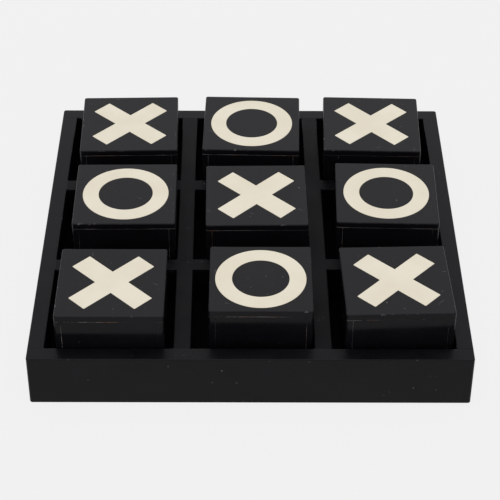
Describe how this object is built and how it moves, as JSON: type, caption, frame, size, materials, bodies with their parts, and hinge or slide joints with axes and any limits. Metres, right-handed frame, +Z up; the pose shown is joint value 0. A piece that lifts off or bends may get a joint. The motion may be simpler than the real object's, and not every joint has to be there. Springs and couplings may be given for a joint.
{
  "type": "tic tac toe set",
  "caption": "Square black tray with a grid of pockets and loose square blocks in them, each with an inlaid cream cross or ring flush in its black top.",
  "frame": {"origin": "middle of the tray's underside, on the surface that it stands on", "axes": "+Z up, through the short way of the set; the front edge of the tray faces -Y, +X is to its right"},
  "size_m": [0.2, 0.2, 0.0435],
  "materials": {
    "tray_resin": "black resin sheet, satin polish, hand rubbed",
    "block_resin": "black resin sheet, tops sanded to a fine haze, sides polished",
    "inlay_resin": "cream resin with a faint bone-like mottle, sanded flush",
    "painted_board": "fibreboard painted matt black",
    "core_board": "bare medium-density fibreboard, hidden",
    "black_felt": "thin black felt"
  },
  "bodies": {
    "tray": {"rim_front": "tray_resin", "rim_back": "tray_resin", "rim_left": "tray_resin", "rim_right": "tray_resin", "bottom_panel": "painted_board", "underside_felt": "black_felt", "divider_long_left": "tray_resin", "divider_long_right": "tray_resin", "divider_short_back_left": "tray_resin", "divider_short_back_centre": "tray_resin", "divider_short_back_right": "tray_resin", "divider_short_front_left": "tray_resin", "divider_short_front_centre": "tray_resin", "divider_short_front_right": "tray_resin"},
    "block_back_left": {"block_back_left_felt_pad": "black_felt", "block_back_left_core": "core_board", "block_back_left_side_sheets": "block_resin", "block_back_left_top_slab": "block_resin", "block_back_left_cross_inlay": "inlay_resin"},
    "block_back_centre": {"block_back_centre_felt_pad": "black_felt", "block_back_centre_core": "core_board", "block_back_centre_side_sheets": "block_resin", "block_back_centre_top_slab": "block_resin", "block_back_centre_ring_inlay": "inlay_resin"},
    "block_back_right": {"block_back_right_felt_pad": "black_felt", "block_back_right_core": "core_board", "block_back_right_side_sheets": "block_resin", "block_back_right_top_slab": "block_resin", "block_back_right_cross_inlay": "inlay_resin"},
    "block_middle_left": {"block_middle_left_felt_pad": "black_felt", "block_middle_left_core": "core_board", "block_middle_left_side_sheets": "block_resin", "block_middle_left_top_slab": "block_resin", "block_middle_left_ring_inlay": "inlay_resin"},
    "block_middle_centre": {"block_middle_centre_felt_pad": "black_felt", "block_middle_centre_core": "core_board", "block_middle_centre_side_sheets": "block_resin", "block_middle_centre_top_slab": "block_resin", "block_middle_centre_cross_inlay": "inlay_resin"},
    "block_middle_right": {"block_middle_right_felt_pad": "black_felt", "block_middle_right_core": "core_board", "block_middle_right_side_sheets": "block_resin", "block_middle_right_top_slab": "block_resin", "block_middle_right_ring_inlay": "inlay_resin"},
    "block_front_left": {"block_front_left_felt_pad": "black_felt", "block_front_left_core": "core_board", "block_front_left_side_sheets": "block_resin", "block_front_left_top_slab": "block_resin", "block_front_left_cross_inlay": "inlay_resin"},
    "block_front_centre": {"block_front_centre_felt_pad": "black_felt", "block_front_centre_core": "core_board", "block_front_centre_side_sheets": "block_resin", "block_front_centre_top_slab": "block_resin", "block_front_centre_ring_inlay": "inlay_resin"},
    "block_front_right": {"block_front_right_felt_pad": "black_felt", "block_front_right_core": "core_board", "block_front_right_side_sheets": "block_resin", "block_front_right_top_slab": "block_resin", "block_front_right_cross_inlay": "inlay_resin"}
  },
  "joints": [
    {"name": "lift_back_left", "type": "slide", "parent": "tray", "child": "block_back_left", "axis": [0, 0, 1], "range_m": [0, 0.04]},
    {"name": "lift_back_centre", "type": "slide", "parent": "tray", "child": "block_back_centre", "axis": [0, 0, 1], "range_m": [0, 0.04]},
    {"name": "lift_back_right", "type": "slide", "parent": "tray", "child": "block_back_right", "axis": [0, 0, 1], "range_m": [0, 0.04]},
    {"name": "lift_middle_left", "type": "slide", "parent": "tray", "child": "block_middle_left", "axis": [0, 0, 1], "range_m": [0, 0.04]},
    {"name": "lift_middle_centre", "type": "slide", "parent": "tray", "child": "block_middle_centre", "axis": [0, 0, 1], "range_m": [0, 0.04]},
    {"name": "lift_middle_right", "type": "slide", "parent": "tray", "child": "block_middle_right", "axis": [0, 0, 1], "range_m": [0, 0.04]},
    {"name": "lift_front_left", "type": "slide", "parent": "tray", "child": "block_front_left", "axis": [0, 0, 1], "range_m": [0, 0.04]},
    {"name": "lift_front_centre", "type": "slide", "parent": "tray", "child": "block_front_centre", "axis": [0, 0, 1], "range_m": [0, 0.04]},
    {"name": "lift_front_right", "type": "slide", "parent": "tray", "child": "block_front_right", "axis": [0, 0, 1], "range_m": [0, 0.04]}
  ]
}
